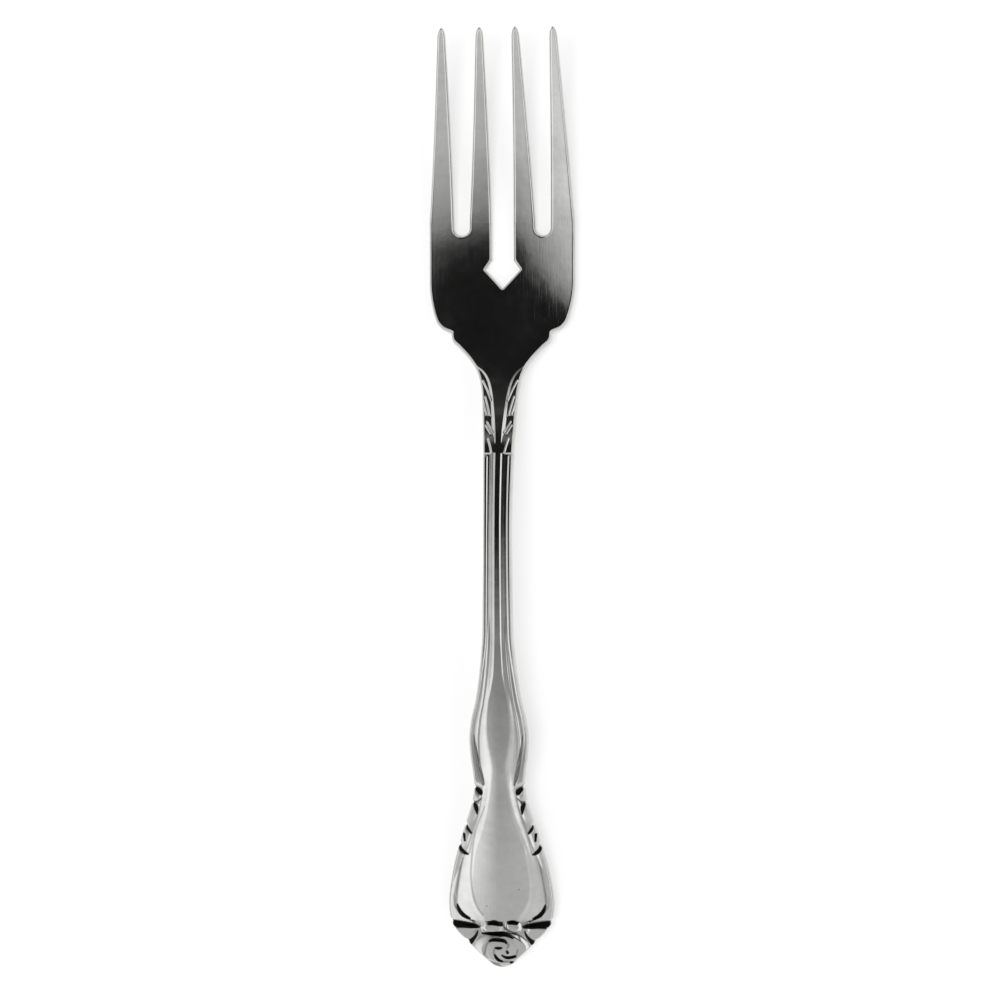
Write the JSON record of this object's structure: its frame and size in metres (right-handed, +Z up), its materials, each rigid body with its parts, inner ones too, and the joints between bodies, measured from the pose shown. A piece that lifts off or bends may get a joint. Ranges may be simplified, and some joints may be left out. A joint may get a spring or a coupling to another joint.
{
  "type": "salad fork",
  "caption": "Table fork in polished steel with short tapered tines, a deep diamond-ended centre slot, an arched stem and a shield-shaped handle with leaf and rose relief.",
  "frame": {"origin": "on the table, under the middle of the fork's length and width, with the fork lying face up", "axes": "+Y from the handle's end to the tine tips, +Z up from the table through the face, +X to the right seen from above with the tines up"},
  "size_m": [0.0252, 0.1602, 0.0114],
  "materials": {
    "steel": "polished"
  },
  "bodies": {
    "root": {"rose_end": "steel", "handle_blade": "steel", "handle_hip": "steel", "stem": "steel", "neck": "steel", "palm": "steel", "tine_inner_left": "steel", "tine_outer_left": "steel", "tine_inner_right": "steel", "tine_outer_right": "steel"}
  },
  "joints": []
}
